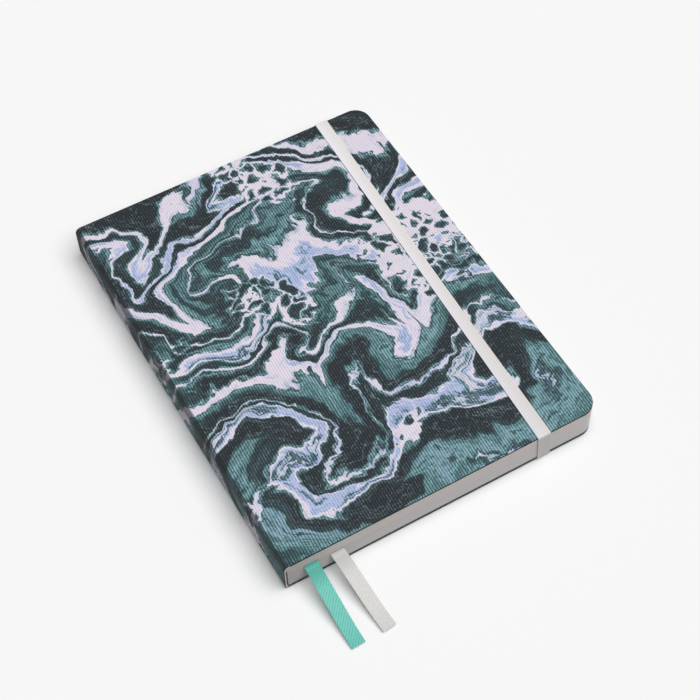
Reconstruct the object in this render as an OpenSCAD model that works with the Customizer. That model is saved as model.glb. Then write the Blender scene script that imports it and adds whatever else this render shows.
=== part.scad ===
// Softcover notebook lying on its back: flush-cut cloth case with a rounded front fold,
// a hollow back, rounded fore-edge corners, an elastic closure and two ribbon markers.
// X runs from the spine to the fore-edge, Y from the tail to the head and Z up.
// The origin is the middle of the closed book's underside.

/* [Format] */
// Width of the closed book, from the spine's outside to the fore-edge
book_w = 158; // [120:1:220]
// Length of the book, from tail to head
book_l = 210; // [150:1:300]
// Thickness of the closed book over both covers
book_t = 17.5; // [12:0.5:30]
// Radius of the two fore-edge corners, cut through covers and pages together
corner_r = 8; // [3:0.5:15]

/* [Case] */
// Thickness of the printed ribbed cloth
cloth_t = 0.35; // [0.2:0.05:0.5]
// Thickness of the flexible board under the cloth
board_t = 0.65; // [0.5:0.05:1]
// Outer radius of the fold between the front cover and the spine
front_fold_r = 3; // [2.5:0.25:6]
// Outer radius of the fold between the back cover and the spine
back_fold_r = 1.5; // [1.4:0.1:2.5]
// Hollow between the spine board and the back of the pages
hollow_gap = 0.7; // [0.4:0.05:1.2]

/* [Paper] */
// Thickness of an endpaper leaf
endpaper_t = 0.15; // [0.1:0.01:0.3]
// Air under the front cover, which springs up a little off the pages
cover_lift = 0.2; // [0.1:0.05:0.6]
// Gap in each endpaper where it crosses a cover's hinge line
endpaper_gap = 0.4; // [0.2:0.1:1]
// Clearance between the pages' round shoulder and the board folded over it
shoulder_gap = 0.05; // [0.02:0.01:0.2]
// Height of the slope where the pages swell out to the front fold
swell_h = 1.5; // [0.5:0.1:3]
// Thickness of the gauze and paper lining glued on the back of the pages
lining_t = 0.25; // [0.1:0.05:0.35]
// Distance from the lining to the head and to the tail
lining_margin = 12; // [5:1:25]

/* [Elastic closure] */
// Width of the elastic where it turns over the head and the tail
band_w = 6.6; // [4:0.1:12]
// Width of the elastic in the middle of the front cover, where its stretch draws it in
band_waist_w = 5.9; // [3.5:0.1:12]
// Thickness of the elastic
band_t = 0.5; // [0.4:0.05:0.6]
// Distance from the fore-edge to the middle of the elastic at the front cover's tail edge
band_tail_in = 29.4; // [15:0.2:60]
// Distance from the fore-edge to the middle of the elastic at the front cover's head edge
band_head_in = 23.2; // [15:0.2:60]
// Distance from the fore-edge to the middle of the elastic's slots in the back cover
band_slot_in = 28.4; // [15:0.2:60]
// Distance from a slot to the head or tail edge of the back cover
slot_margin = 12; // [6:1:25]
// Width of the back cover's slot along the book, which the elastic's end fills
slot_w = 1.6; // [1:0.1:3]
// Clearance at each side of the elastic in its seat in the back cover
seat_gap = 0.15; // [0.05:0.05:0.4]

/* [Ribbon markers] */
// Width of a ribbon
ribbon_w = 6.5; // [3:0.5:10]
// Thickness of a ribbon
ribbon_t = 0.3; // [0.2:0.05:0.4]
// Distance from the spine to the middle of the mint ribbon where it leaves the pages
mint_exit_x = 12.6; // [10:0.2:20]
// Distance from the spine to the middle of the grey ribbon where it leaves the pages
grey_exit_x = 25.2; // [21:0.2:40]
// Depth of the mint ribbon under the top of the pages
mint_depth = 5.8; // [2:0.1:8]
// Thickness of the leaves between the mint ribbon and the grey one under it
leaves_between = 0.2; // [0.1:0.05:2]
// Distance from the head to the place where the ribbons are glued in
ribbon_root_margin = 10; // [5:1:20]
// Paper left between the glued ends of the ribbons and the back of the pages
ribbon_root_wall = 1; // [0.5:0.1:3]
// Clearance between a ribbon and the pages round it
ribbon_gap = 0.05; // [0.02:0.01:0.1]

/* [Hidden] */
$fn = 48;

// Room that a cutting solid takes past the face that it opens
cut = 1;
cover_t = cloth_t + board_t;
spine_x = -book_w / 2;
fore_x = book_w / 2;
tail_y = -book_l / 2;
head_y = book_l / 2;

// Each cover turns about the outer line where it meets its fold
front_hinge_x = spine_x + front_fold_r;
back_hinge_x = spine_x + back_fold_r;

// Levels of the layers, counted from the table
back_pastedown_z = cover_t;
back_flyleaf_z = back_pastedown_z + endpaper_t;
pages_z = back_flyleaf_z + endpaper_t;
front_pastedown_z = book_t - cover_t - endpaper_t;
front_flyleaf_z = front_pastedown_z - cover_lift - endpaper_t;

// The back of the pages, and the round shoulder that fills the front fold
pages_x = spine_x + cover_t + hollow_gap;
shoulder_r = front_fold_r - cover_t - shoulder_gap;
shoulder_z = book_t - front_fold_r;

// Where a leaf at a height meets the shoulder's arc
function shoulder_x(z) = front_hinge_x - sqrt(pow(shoulder_r, 2) - pow(z - shoulder_z, 2));

// A leaf's outline from a line near the spine to the round fore-edge corners
module leaf_outline(from_x) {
    translate([from_x, tail_y]) square([fore_x - corner_r - from_x, book_l]);
    translate([from_x, tail_y + corner_r]) square([fore_x - from_x, book_l - 2 * corner_r]);
    for (y = [tail_y + corner_r, head_y - corner_r])
        translate([fore_x - corner_r, y]) circle(corner_r);
}

module leaf(from_x, from_z, thickness) {
    translate([0, 0, from_z]) linear_extrude(thickness) leaf_outline(from_x);
}

// Stands a drawing of the X-Z section up along the book's length
module along_book(from_y = tail_y, to_y = head_y) {
    translate([0, to_y, 0]) rotate([90, 0, 0]) linear_extrude(to_y - from_y) children();
}

// The case's outline at the spine, drawn in by a depth from its outside
module case_section(depth) {
    front_r = front_fold_r - depth;
    back_r = back_fold_r - depth;
    left = spine_x + depth;
    translate([left, back_fold_r]) square([front_fold_r, book_t - front_fold_r - back_fold_r]);
    translate([front_hinge_x, depth]) square([cut, book_t - 2 * depth]);
    translate([back_hinge_x, depth]) square([front_hinge_x - back_hinge_x, back_r + cut]);
    translate([front_hinge_x, book_t - front_fold_r]) circle(front_r);
    translate([back_hinge_x, back_fold_r]) circle(back_r);
}

// One layer of the case round the spine, between the two hinge lines
module spine_layer(outer_depth, inner_depth) {
    along_book() intersection() {
        difference() {
            case_section(outer_depth);
            case_section(inner_depth);
        }
        union() {
            translate([spine_x, 0]) square([back_fold_r, book_t]);
            translate([spine_x, book_t / 2]) square([front_fold_r, book_t / 2]);
        }
    }
}

// The elastic's path round the book, drawn in the Y-Z plane as a closed ring
module band_ring() {
    difference() {
        union() {
            translate([tail_y - band_t, band_t]) square([book_l + 2 * band_t, book_t - band_t]);
            translate([tail_y, 0]) square([book_l, book_t + band_t]);
            for (y = [tail_y, head_y], z = [band_t, book_t])
                translate([y, z]) circle(band_t);
        }
        translate([tail_y, band_t]) square([book_l, book_t - band_t]);
    }
}

// Pieces that the elastic's drawn-in edges are divided into
band_steps = 8;

// A point on an edge of the elastic in front, with side -1 or 1, from share 0 at the tail to 1 at the head
function band_top(share, side) = [
    fore_x - band_tail_in + share * (band_tail_in - band_head_in)
        + side * (band_waist_w + (band_w - band_waist_w) * pow(2 * share - 1, 2)) / 2,
    tail_y + share * book_l
];

// The elastic's ring is cut to its width by the way that it runs on each face
module band_runs() {
    half = band_w / 2;
    tail_x = fore_x - band_tail_in;
    head_x = fore_x - band_head_in;
    slot_x = fore_x - band_slot_in;
    under_l = slot_margin + slot_w / 2 + band_t;
    translate([0, 0, book_t]) linear_extrude(band_t) polygon(concat(
        [[tail_x - half, tail_y - band_t], [tail_x + half, tail_y - band_t]],
        [for (i = [0:band_steps]) band_top(i / band_steps, 1)],
        [[head_x + half, head_y + band_t], [head_x - half, head_y + band_t]],
        [for (i = [band_steps:-1:0]) band_top(i / band_steps, -1)]
    ));
    band_side(tail_x, slot_x, half, tail_y - band_t, tail_y);
    band_side(head_x, slot_x, half, head_y, head_y + band_t);
    for (y = [tail_y - band_t, head_y + band_t - under_l])
        translate([slot_x - half, y, 0]) cube([2 * half, under_l, band_t]);
}

// The elastic down the head or tail, leaning from its place in front to its slot
module band_side(top_x, slot_x, half, from_y, to_y) {
    along_book(from_y, to_y) polygon([
        [slot_x - half, 0], [slot_x + half, 0],
        [top_x + half, book_t], [top_x - half, book_t]
    ]);
}

module band_slots(side_gap, height) {
    half = band_w / 2 + side_gap;
    for (y = [tail_y + slot_margin, head_y - slot_margin])
        translate([fore_x - band_slot_in - half, y - slot_w / 2, 0])
            cube([2 * half, slot_w, height]);
}

// Seats for the elastic: a pressed channel to each edge and a slot at its end
module band_seats() {
    half = band_w / 2 + seat_gap;
    under_l = slot_margin + slot_w / 2;
    for (y = [tail_y - cut, head_y - under_l])
        translate([fore_x - band_slot_in - half, y, -cut])
            cube([2 * half, under_l + cut, band_t + cut]);
    translate([0, 0, -cut]) band_slots(seat_gap, cover_t + 2 * cut);
}

// A ribbon's line outside the pages: distance from the tail and share of its exit height
ribbon_drop = [
    [0, 1], [1.5, 1], [2.5, 0.975], [4, 0.93], [7, 0.84], [10, 0.75], [14, 0.61],
    [18, 0.47], [22, 0.34], [26, 0.21], [30, 0.11], [34, 0.04], [38, 0]
];

ribbon_root_x = pages_x + ribbon_root_wall + ribbon_w / 2;
ribbon_root_l = book_l - ribbon_root_margin;
parting_h = ribbon_t + 2 * ribbon_gap;
mint_exit_z = front_flyleaf_z - mint_depth;
grey_exit_z = mint_exit_z - parting_h - leaves_between;

// The line keeps half the ribbon's thickness over the table
function ribbon_line(exit_z) = [
    for (p = ribbon_drop) [-p[0], ribbon_t / 2 + p[1] * (exit_z - ribbon_t / 2)]
];

// Direction of the line at one of its points, from its neighbours
function line_way(line, i) =
    let (d = line[min(i + 1, len(line) - 1)] - line[max(i - 1, 0)]) d / norm(d);

// The line moved sideways by a distance; both sides end square
function beside(line, distance) = [
    for (i = [0 : len(line) - 1])
        let (way = line_way(line, i)) line[i] + distance * [way[1], -way[0]]
];

// A ribbon's side view: glued end, straight run between the pages, droop to the table
module ribbon_side(exit_z) {
    line = ribbon_line(exit_z);
    over = beside(line, ribbon_t / 2);
    under = beside(line, -ribbon_t / 2);
    polygon(concat(
        [[ribbon_root_l, exit_z - ribbon_t / 2], [ribbon_root_l, exit_z + ribbon_t / 2]],
        [for (p = over) [p[0], max(p[1], 0)]],
        [for (i = [len(under) - 1 : -1 : 0]) [under[i][0], max(under[i][1], 0)]]
    ));
}

// Places a side view on the line from a ribbon's exit to its glued end, with its width
module along_ribbon(exit_from_spine, width) {
    exit_x = spine_x + exit_from_spine;
    turn = atan2(ribbon_root_x - exit_x, ribbon_root_l);
    translate([exit_x, tail_y, 0]) rotate([0, 0, -turn])
        translate([-width / 2, 0, 0]) rotate([90, 0, 90]) linear_extrude(width) children();
}

// The parting of the pages that a ribbon lies in, open at the tail
module ribbon_parting(exit_from_spine, exit_z) {
    along_ribbon(exit_from_spine, ribbon_w + 2 * ribbon_gap)
        translate([-cut, exit_z - parting_h / 2])
            square([ribbon_root_l + cut + ribbon_gap, parting_h]);
}

// The marbled print on the cloth laid flat, where X is the book's own on the front and runs on
// round the spine and under the back. Wavy bands of paint lie across it and swirls stir them.
ground_colour = "#37464a";
teal_colour = "#6d9ca0";
pale_colour = "#e4dae7";
blue_colour = "#a5b8dc";

// Depth that the paint goes into the cloth
print_t = 0.15;

// Height and length of the waves in a band before it is stirred
wave_h = 9;
wave_l = 150;

// Distance between two points of a band's edge, and how far past its part a band is drawn
stir_step = 3;
stir_reach = 40;

// Bands of each colour: the two edges, as places along the book
teal_bands = [[-101, -86], [-27, -15], [23, 33], [49, 63]];
pale_bands = [
    [-66, -59], [-53, -48], [-43, -41], [-15, -10], [0, 2], [17, 23], [40, 42], [63, 68], [93, 97]
];
blue_bands = [[-59, -53], [11, 17], [77, 82]];

// Swirls: middle, radius and turn
swirls = [
    [[38, 60], 26, 170], [[-38, 36], 24, -178], [[10, -30], 22, 165], [[-48, -62], 28, 183],
    [[54, -62], 20, -172], [[-8, 84], 16, -160], [[36, 8], 14, 195], [[-62, 80], 18, 172],
    [[-10, -88], 15, -183], [[-30, -12], 13, 195],
    [[-135, -60], 24, 160], [[-168, 40], 30, 172], [[-222, -26], 26, -160],
    [[-215, 84], 20, -170], [[-122, 84], 18, 165], [[-180, -84], 20, -175]
];

// A point carried round by one swirl: most in its middle and hardly at all past its radius
function turned(p, swirl) =
    let (
        q = p - swirl[0],
        a = -swirl[2] * exp(-pow(norm(q) / swirl[1], 2))
    )
    swirl[0] + [q[0] * cos(a) - q[1] * sin(a), q[0] * sin(a) + q[1] * cos(a)];

// A point carried round by one swirl after another
function stirred(p, i = len(swirls) - 1) = i < 0 ? p : stirred(turned(p, swirls[i]), i - 1);

function band_edge(y, from_x, to_x) = [
    for (i = [floor(from_x / stir_step) : ceil(to_x / stir_step)])
        stirred([i * stir_step, y + wave_h * sin(360 * i * stir_step / wave_l + y)])
];

// The bands of one colour between two places across the laid-flat cloth, and a little past them
module painted_bands(bands, from_x, to_x) {
    for (b = bands) {
        low = band_edge(b[0], from_x - stir_reach, to_x + stir_reach);
        high = band_edge(b[1], from_x - stir_reach, to_x + stir_reach);
        polygon(concat(low, [for (i = [len(high) - 1 : -1 : 0]) high[i]]));
    }
}

// The bands of one colour on the front, round the spine and under the back
module front_print(bands) {
    translate([0, 0, book_t - print_t]) linear_extrude(print_t) intersection() {
        leaf_outline(front_hinge_x);
        painted_bands(bands, front_hinge_x, fore_x);
    }
}

module spine_print(bands) {
    intersection() {
        spine_layer(0, print_t);
        translate([front_hinge_x, 0, book_t]) rotate([0, -90, 0])
            linear_extrude(front_fold_r + cut) translate([-front_hinge_x, 0])
                painted_bands(bands, front_hinge_x - book_t, front_hinge_x);
    }
}

module back_print(bands) {
    linear_extrude(print_t) intersection() {
        leaf_outline(back_hinge_x);
        translate([back_hinge_x + front_hinge_x - book_t, 0]) mirror([1, 0])
            painted_bands(bands, front_hinge_x - book_t - book_w, front_hinge_x - book_t);
    }
}

module front_cloth() {
    color(ground_colour) difference() {
        leaf(front_hinge_x, book_t - cloth_t, cloth_t);
        front_print(concat(teal_bands, pale_bands, blue_bands));
    }
    color(teal_colour) front_print(teal_bands);
    color(pale_colour) front_print(pale_bands);
    color(blue_colour) front_print(blue_bands);
}

module front_board() {
    color("#3b3b3c") leaf(front_hinge_x, book_t - cover_t, board_t);
}

module front_pastedown() {
    color("#f1efe9") leaf(front_hinge_x + endpaper_gap, front_pastedown_z, endpaper_t);
}

module front_flyleaf() {
    color("#f1efe9")
        leaf(shoulder_x(front_flyleaf_z) + endpaper_gap, front_flyleaf_z, endpaper_t);
}

// Section of the pages: round front shoulder, slope, flat back and square lower corner
module pages_section() {
    top_z = front_flyleaf_z;
    intersection() {
        translate([front_hinge_x, shoulder_z]) circle(shoulder_r);
        translate([spine_x, shoulder_z]) square([front_fold_r, top_z - shoulder_z]);
    }
    translate([front_hinge_x, pages_z]) square([fore_x - front_hinge_x, top_z - pages_z]);
    polygon([
        [front_hinge_x, pages_z], [front_hinge_x, shoulder_z],
        [front_hinge_x - shoulder_r, shoulder_z],
        [pages_x, shoulder_z - swell_h], [pages_x, pages_z]
    ]);
}

module text_block() {
    color("#aca9a6") difference() {
        intersection() {
            along_book() pages_section();
            leaf(spine_x, 0, book_t);
        }
        ribbon_parting(mint_exit_x, mint_exit_z);
        ribbon_parting(grey_exit_x, grey_exit_z);
    }
}

module spine_cloth() {
    color(ground_colour) difference() {
        spine_layer(0, cloth_t);
        spine_print(concat(teal_bands, pale_bands, blue_bands));
    }
    color(teal_colour) spine_print(teal_bands);
    color(pale_colour) spine_print(pale_bands);
    color(blue_colour) spine_print(blue_bands);
}

module spine_board() {
    color("#cfcac2") spine_layer(cloth_t, cover_t);
}

module spine_lining() {
    color("#d9d4c6") translate([pages_x - lining_t, tail_y + lining_margin, pages_z])
        cube([lining_t, book_l - 2 * lining_margin, shoulder_z - swell_h - pages_z]);
}

module back_flyleaf() {
    color("#f1efe9") leaf(pages_x, back_flyleaf_z, endpaper_t);
}

module back_pastedown() {
    color("#f1efe9") leaf(back_hinge_x + endpaper_gap, back_pastedown_z, endpaper_t);
}

module back_board() {
    color("#3b3b3c") difference() {
        leaf(back_hinge_x, cloth_t, board_t);
        band_seats();
    }
}

module back_cloth() {
    difference() {
        union() {
            color(ground_colour) difference() {
                leaf(back_hinge_x, 0, cloth_t);
                back_print(concat(teal_bands, pale_bands, blue_bands));
            }
            color(teal_colour) back_print(teal_bands);
            color(pale_colour) back_print(pale_bands);
            color(blue_colour) back_print(blue_bands);
        }
        band_seats();
    }
}

module elastic_band() {
    color("#e8e5e2") {
        intersection() {
            translate([spine_x, 0, 0]) rotate([90, 0, 90]) linear_extrude(book_w) band_ring();
            band_runs();
        }
        band_slots(0, cover_t);
    }
}

module mint_ribbon() {
    color("#6ecfbb") along_ribbon(mint_exit_x, ribbon_w) ribbon_side(mint_exit_z);
}

module grey_ribbon() {
    color("#d8d7d3") along_ribbon(grey_exit_x, ribbon_w) ribbon_side(grey_exit_z);
}

front_cloth();
front_board();
front_pastedown();
front_flyleaf();
text_block();
spine_cloth();
spine_board();
spine_lining();
back_flyleaf();
back_pastedown();
back_board();
back_cloth();
elastic_band();
mint_ribbon();
grey_ribbon();
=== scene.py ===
"""Looks of a softcover notebook in ribbed marbled cloth, with an elastic and two ribbon markers."""
import math
import random

import bmesh
import bpy
from mathutils import Matrix, Vector


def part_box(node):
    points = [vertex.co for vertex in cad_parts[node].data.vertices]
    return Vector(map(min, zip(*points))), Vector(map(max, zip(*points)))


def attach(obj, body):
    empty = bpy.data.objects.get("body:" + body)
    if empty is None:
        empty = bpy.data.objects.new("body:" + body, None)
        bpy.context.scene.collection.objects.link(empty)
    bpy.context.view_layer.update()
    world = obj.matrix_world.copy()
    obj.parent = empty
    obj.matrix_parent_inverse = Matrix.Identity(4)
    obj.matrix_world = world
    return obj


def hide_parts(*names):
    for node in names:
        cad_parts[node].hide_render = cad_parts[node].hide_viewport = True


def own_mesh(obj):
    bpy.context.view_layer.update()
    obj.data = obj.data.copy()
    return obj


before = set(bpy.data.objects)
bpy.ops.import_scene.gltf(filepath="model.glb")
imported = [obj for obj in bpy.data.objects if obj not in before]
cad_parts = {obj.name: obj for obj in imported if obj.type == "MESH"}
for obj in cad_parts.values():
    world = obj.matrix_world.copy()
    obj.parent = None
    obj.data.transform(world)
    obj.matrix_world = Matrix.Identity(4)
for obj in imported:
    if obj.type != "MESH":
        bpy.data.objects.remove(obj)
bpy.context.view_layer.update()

random.seed(11)

# Sizes of the book, read from the frame, in metres
front_low, front_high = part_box("front_cloth")
back_low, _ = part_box("back_cloth")
spine_low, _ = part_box("spine_cloth")
pages_low, pages_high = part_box("text_block")
BOOK_T = front_high.z
FORE_X = front_high.x
SPINE_X = spine_low.x
TAIL_Y = front_low.y
HEAD_Y = front_high.y
CLOTH_T = front_high.z - front_low.z
FRONT_HINGE_X = front_low.x
BACK_HINGE_X = back_low.x
FRONT_FOLD_R = FRONT_HINGE_X - SPINE_X
BACK_FOLD_R = BACK_HINGE_X - SPINE_X
CORNER_R = 0.008

# The cloth's ribs run almost along the book
RIB_PITCH = 0.00125
RIB_DEPTH = 0.00016
RIB_LEAN = math.tan(math.radians(2.3))
RIB_SHAPE = 0.7
RIB_STEPS = 8
ROW_STEP = 0.005
CORNER_ROWS = 9

# Length of a print unit, the measure of the cloth laid flat
PRINT_UNIT = 0.1

# The crease beside the front hinge, and how far past the fold the painted shade reaches, as a share of its
# radius
CREASE_IN = 0.0009
FOLD_SHADE_REACH = 1.35

# Lining
GAUZE_PITCH = 0.0009

# Elastic
BAND_W = 0.0066
BAND_WAIST_W = 0.0059
BAND_T = 0.0005
BAND_TAIL_X = FORE_X - 0.0294
BAND_HEAD_X = FORE_X - 0.0232
BAND_SLOT_X = FORE_X - 0.0284
SLOT_MARGIN = 0.012
SLOT_W = 0.0016
SEAT_GAP = 0.00015
COVER_T = 0.001
# Distance from the book's edge to a point of the elastic's level run under the back cover
BAND_LEVEL_IN = 0.004
BAND_EDGE_R = 0.00018
BAND_RIDGES = 6
BAND_GROOVE = 0.00004
BAND_GROOVE_SHAPE = 0.6
RIDGE_STEPS = 6
STITCH_PITCH = 0.00042

# Ribbons: distance out of the tail and share of the height at the exit
RIBBON_DROP = [
    (0, 1), (0.0015, 1), (0.0025, 0.975), (0.004, 0.93), (0.007, 0.84), (0.010, 0.75), (0.014, 0.61),
    (0.018, 0.47), (0.022, 0.34), (0.026, 0.21), (0.030, 0.11), (0.034, 0.04), (0.038, 0),
]
RIBBON_W = 0.0065
RIBBON_T = 0.0003
RIBBON_ROOT = Vector((-0.07305, 0.095, 0))
MINT_EXIT = Vector((SPINE_X + 0.0126, TAIL_Y, 0.0102))
GREY_EXIT = Vector((SPINE_X + 0.0252, TAIL_Y, 0.0096))
MINT_TWILL = (590, 680)
GREY_TWILL = (850, 590)
TWILL_DEPTH = 0.00004
RIBBON_COLUMNS = 44
RIBBON_STEP = 0.00012
HIDDEN_STEPS = 40
SELVEDGE = 0.6
# Air between a ribbon's free part and its part between the pages
HIDDEN_GAP = 0.0001

# Camera, fitted to the straight edges of the photograph
CAMERA_PLACE = Vector((-0.19792, -0.39379, 0.61309))
CAMERA_RIGHT = Vector((0.86842379, -0.49539641, -0.02055541))
CAMERA_DOWN = Vector((-0.41529422, -0.70410615, -0.57599067))
CAMERA_LENS = 83.147
SENSOR = 36

# Light: a soft sun and an even sky, which add up to 1 on a level surface
SUN_WAY = Vector((0.16, -0.30, 0.94))
SUN_SHARE = 0.84
SUN_SPREAD = math.radians(60)
BACKDROP = 0.93
# The floor lies low enough for the back cover turned right over, which then lies under the book's level
FLOOR_DROP = 0.00118
FLOOR_BOUNCE = 0.62


def linear(text):
    """A colour as red, green, blue and alpha in linear light, from its hex code."""
    parts = [int(text[i:i + 2], 16) / 255 for i in (1, 3, 5)]
    return tuple(c / 12.92 if c <= 0.04045 else ((c + 0.055) / 1.055) ** 2.4 for c in parts) + (1,)


def add_node(tree, kind, inputs, **settings):
    """A shader node with its settings, and each input linked or set."""
    node = tree.nodes.new("ShaderNode" + kind)
    for key, value in settings.items():
        setattr(node, key, value)
    for key, value in inputs.items():
        if isinstance(value, bpy.types.NodeSocket):
            tree.links.new(value, node.inputs[key])
        else:
            node.inputs[key].default_value = value
    return node


class Look:
    """One node material. Each method adds a node and gives back its output socket."""

    def __init__(self, name):
        self.material = bpy.data.materials.new(name)
        self.material.use_nodes = True
        self.tree = self.material.node_tree
        self.tree.nodes.clear()

    def add(self, kind, inputs, **settings):
        return add_node(self.tree, kind, inputs, **settings)

    def math(self, operation, *values):
        return self.add("Math", dict(enumerate(values)), operation=operation).outputs[0]

    def plus(self, first, second):
        return self.math("ADD", first, second)

    def minus(self, first, second):
        return self.math("SUBTRACT", first, second)

    def times(self, first, second):
        return self.math("MULTIPLY", first, second)

    def vector(self, operation, *values):
        node = self.add("VectorMath", dict(enumerate(values)), operation=operation)
        return node.outputs["Value" if operation in ("DISTANCE", "LENGTH", "DOT_PRODUCT") else "Vector"]

    def scaled(self, point, factor):
        return self.add("VectorMath", {0: point, "Scale": factor}, operation="SCALE").outputs[0]

    def place(self):
        """A point's place in the row frame, in metres."""
        return self.add("TexCoord", {}).outputs["Object"]

    def print_place(self):
        """A point's place on the cloth laid flat, in print units."""
        return self.add("UVMap", {}, uv_map="print").outputs["UV"]

    def split(self, point):
        return self.add("SeparateXYZ", {0: point}).outputs

    def join(self, x, y, z=0.0):
        return self.add("CombineXYZ", {0: x, 1: y, 2: z}).outputs[0]

    def noise(self, point, scale, detail=2.0, roughness=0.5, kind="Factor"):
        inputs = {"Vector": point, "Scale": scale, "Detail": detail, "Roughness": roughness}
        node = self.add("TexNoise", inputs)
        return node.outputs["Color" if kind == "Color" else 0]

    def band(self, value, low, high, start=0.0, end=1.0):
        """The value carried smoothly from low..high to start..end."""
        inputs = {0: value, 1: low, 2: high, 3: start, 4: end}
        return self.add("MapRange", inputs, interpolation_type="SMOOTHSTEP").outputs[0]

    def mix(self, share, first, second):
        return self.add("Mix", {0: share, 6: first, 7: second}, data_type="RGBA").outputs[2]

    def ramp(self, value, stops):
        node = self.add("ValToRGB", {0: value})
        elements = node.color_ramp.elements
        while len(elements) < len(stops):
            elements.new(0.5)
        for element, (position, colour) in zip(elements, stops):
            element.position = position
            element.color = linear(colour)
        return node.outputs[0]

    def curve(self, value, heights):
        """A smooth curve through the given heights, read at a place from 0 to 1."""
        node = self.add("FloatCurve", {"Value": value})
        points = node.mapping.curves[0].points
        points[0].location, points[1].location = heights[0], heights[-1]
        for height in heights[1:-1]:
            points.new(*height)
        node.mapping.update()
        return node.outputs[0]

    def warp(self, point, scale, amount, detail=1.0):
        """The point moved by a smooth noise of its own, which folds the pattern like wet paint."""
        push = self.vector("SUBTRACT", self.noise(point, scale, detail, kind="Color"), (0.5,) * 3)
        return self.vector("ADD", point, self.scaled(push, amount))

    def swirl(self, point, centre, radius, turn):
        """The point turned about a centre, most in the middle and hardly at all past the radius."""
        away = self.math("DIVIDE", self.vector("DISTANCE", point, centre), radius)
        fall = self.math("EXPONENT", self.times(self.math("POWER", away, 2.0), -1.0))
        angle = self.times(fall, turn)
        inputs = {"Vector": point, "Center": centre, "Angle": angle}
        return self.add("VectorRotate", inputs, rotation_type="Z_AXIS").outputs[0]

    def bump(self, height, distance, strength=1.0):
        inputs = {"Height": height, "Distance": distance, "Strength": strength}
        return self.add("Bump", inputs).outputs[0]

    def surface(self, colour, roughness, normal=None, **fixed):
        """Ends the material in a surface; what is in fixed is the same all over."""
        inputs = {"Base Color": colour, "Roughness": roughness}
        if normal is not None:
            inputs["Normal"] = normal
        inputs.update({key.replace("_", " "): value for key, value in fixed.items()})
        shader = self.add("BsdfPrincipled", inputs)
        self.add("OutputMaterial", {"Surface": shader.outputs[0]})
        return self.material


# Swirls of the marbling, in print units on the laid-flat cloth: centre, radius and turn in degrees
SWIRLS = [
    ((0.38, 0.60, 0), 0.26, 170),
    ((-0.38, 0.36, 0), 0.24, -178),
    ((0.10, -0.30, 0), 0.22, 165),
    ((-0.48, -0.62, 0), 0.28, 183),
    ((0.54, -0.62, 0), 0.20, -172),
    ((-0.08, 0.84, 0), 0.16, -160),
    ((0.36, 0.08, 0), 0.14, 195),
    ((-0.62, 0.80, 0), 0.18, 172),
    ((-0.10, -0.88, 0), 0.15, -183),
    ((-0.30, -0.12, 0), 0.13, 195),
    ((-1.35, -0.60, 0), 0.24, 160),
    ((-1.68, 0.40, 0), 0.30, 172),
    ((-2.22, -0.26, 0), 0.26, -160),
    ((-2.15, 0.84, 0), 0.20, -170),
    ((-1.22, 0.84, 0), 0.18, 165),
    ((-1.80, -0.84, 0), 0.20, -175),
]

# Bands of paint before they are stirred: place along the book, and how far the ink is from black
WAVE_H = 0.09
WAVE_L = 1.5
BANDS = [
    (-1.05, 0.50), (-0.93, 0.53), (-0.83, 0.30), (-0.72, 0.12), (-0.66, 0.45), (-0.62, 0.71), (-0.56, 0.82),
    (-0.505, 0.66), (-0.46, 0.25), (-0.42, 0.62), (-0.37, 0.16), (-0.29, 0.40), (-0.21, 0.53), (-0.13, 0.70),
    (-0.07, 0.20), (0.01, 0.64), (0.06, 0.25), (0.14, 0.80), (0.20, 0.71), (0.28, 0.52), (0.36, 0.20),
    (0.41, 0.62), (0.45, 0.22), (0.56, 0.52), (0.655, 0.71), (0.72, 0.14), (0.795, 0.76), (0.86, 0.16),
    (0.95, 0.68), (1.02, 0.20),
]

# Ink from black ground through teal and pale to sky blue, with the thin lines where two inks meet
INK_STOPS = [
    (0.000, "#2a3035"), (0.220, "#2d343a"), (0.330, "#324045"), (0.390, "#374f53"), (0.420, "#46696c"),
    (0.445, "#5f8b8f"), (0.465, "#7aa6ab"), (0.480, "#4a6c70"), (0.500, "#6d9aa0"), (0.520, "#8db8c0"),
    (0.540, "#5f8b91"), (0.560, "#3a5156"), (0.575, "#41565c"), (0.590, "#9dbccb"), (0.605, "#d2cfe2"),
    (0.640, "#e8dfea"), (0.700, "#e3dbe9"), (0.720, "#bcc5e8"), (0.745, "#a4b9e0"), (0.770, "#c6cdec"),
    (0.790, "#8dabcb"), (0.810, "#56797f"), (0.825, "#3b4f55"), (0.840, "#b2c6dc"), (0.870, "#e0dae8"),
    (0.910, "#7fa7b2"), (0.950, "#5c8a90"), (1.000, "#47696c"),
]


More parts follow.
